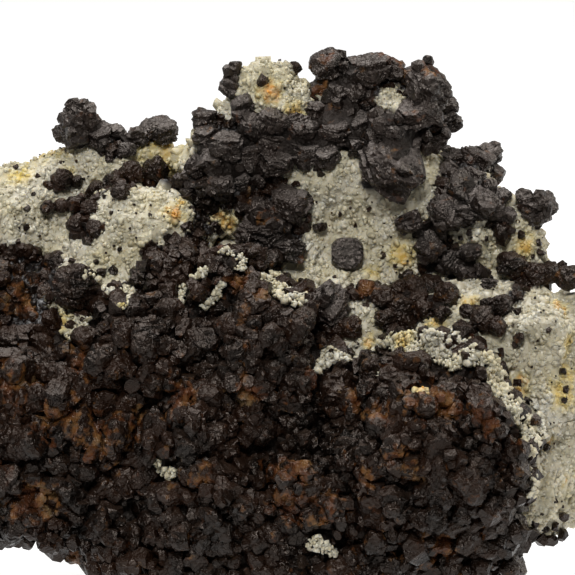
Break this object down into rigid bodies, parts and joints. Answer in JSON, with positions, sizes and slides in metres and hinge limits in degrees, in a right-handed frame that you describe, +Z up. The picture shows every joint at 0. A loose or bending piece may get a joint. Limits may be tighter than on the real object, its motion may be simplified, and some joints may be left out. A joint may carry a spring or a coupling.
{
  "type": "bournonite and sphalerite mineral specimen",
  "caption": "Loose mineral specimen: sugary white quartz rock with black bournonite crystals along its ridge and a brown-black sphalerite crust over its lower front, resting on a flat break.",
  "frame": {"origin": "middle of the bottom of the whole specimen's box, on the plane of the flat break it rests on", "axes": "+X to the right along the length, +Y to the back, +Z up; the crystal-covered show side faces -Y"},
  "size_m": [0.094, 0.055, 0.069],
  "materials": {
    "quartz": "sugary cream-white quartz grains, slightly see-through, stained ochre in places",
    "bournonite": "dull to silky black-grey stepped crystals",
    "sphalerite": "resinous brown-black small crystals with red-brown edges"
  },
  "bodies": {
    "root": {"quartz_matrix": "quartz", "sphalerite_crust_front": "sphalerite", "sphalerite_band_left": "sphalerite", "sphalerite_patch_ledge": "sphalerite", "sphalerite_patch_back_ledge": "sphalerite", "sphalerite_crystal_left": "sphalerite", "sphalerite_row_right": "sphalerite", "sphalerite_cluster_ledge": "sphalerite", "sphalerite_patch_right_ledge": "sphalerite", "sphalerite_patch_back_low": "sphalerite", "sphalerite_patch_back_high": "sphalerite", "bournonite_ridge_left": "bournonite", "bournonite_crown": "bournonite", "bournonite_cluster_centre": "bournonite", "bournonite_tablet": "bournonite", "bournonite_crystal_hollow": "bournonite", "bournonite_cluster_right": "bournonite", "bournonite_knob_right": "bournonite"}
  },
  "joints": []
}
